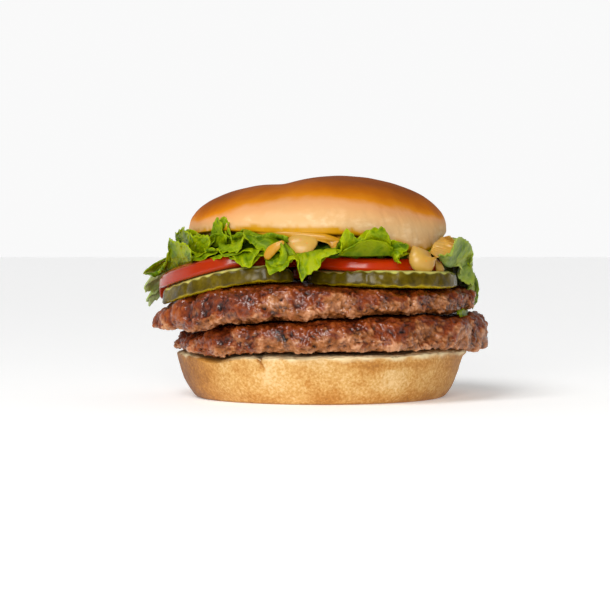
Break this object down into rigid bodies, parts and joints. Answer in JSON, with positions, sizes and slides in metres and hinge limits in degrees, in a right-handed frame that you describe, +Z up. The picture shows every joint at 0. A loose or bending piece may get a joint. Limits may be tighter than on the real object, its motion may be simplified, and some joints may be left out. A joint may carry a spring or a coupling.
{
  "type": "hamburger",
  "caption": "Double hamburger with seared beef patties, pickle and tomato slices, frilled lettuce and sauce in a soft glossy bun.",
  "frame": {"origin": "middle of the heel's flat underside", "axes": "+Z up from the table to the crown, -Y towards the front, which is the side with the sauce drips, +X to the right seen from the front"},
  "size_m": [0.1462, 0.1272, 0.0932],
  "materials": {
    "heel_crust": "matt baked crust with a fine open grain",
    "beef": "cragged seared ground beef, wet with juice in spots",
    "pickle": "wet olive skin over translucent flesh",
    "tomato": "glossy red skin and wet flesh",
    "lettuce": "crisp leaf, half gloss, paler at its ribs and frills",
    "sauce": "creamy sauce with fine specks, soft gloss",
    "bun_crust": "egg-washed crust, brown and glossy on top and pale cream low down"
  },
  "bodies": {
    "root": {"heel": "heel_crust", "patty_lower": "beef", "patty_upper": "beef", "pickle_front_left": "pickle", "pickle_front_right": "pickle", "pickle_back_left": "pickle", "pickle_back_right": "pickle", "tomato_left": "tomato", "tomato_right": "tomato", "lettuce_left_upper": "lettuce", "lettuce_left_lower": "lettuce", "lettuce_front": "lettuce", "lettuce_right": "lettuce", "lettuce_left_back": "lettuce", "lettuce_back": "lettuce", "sauce": "sauce", "crown": "bun_crust"}
  },
  "joints": []
}
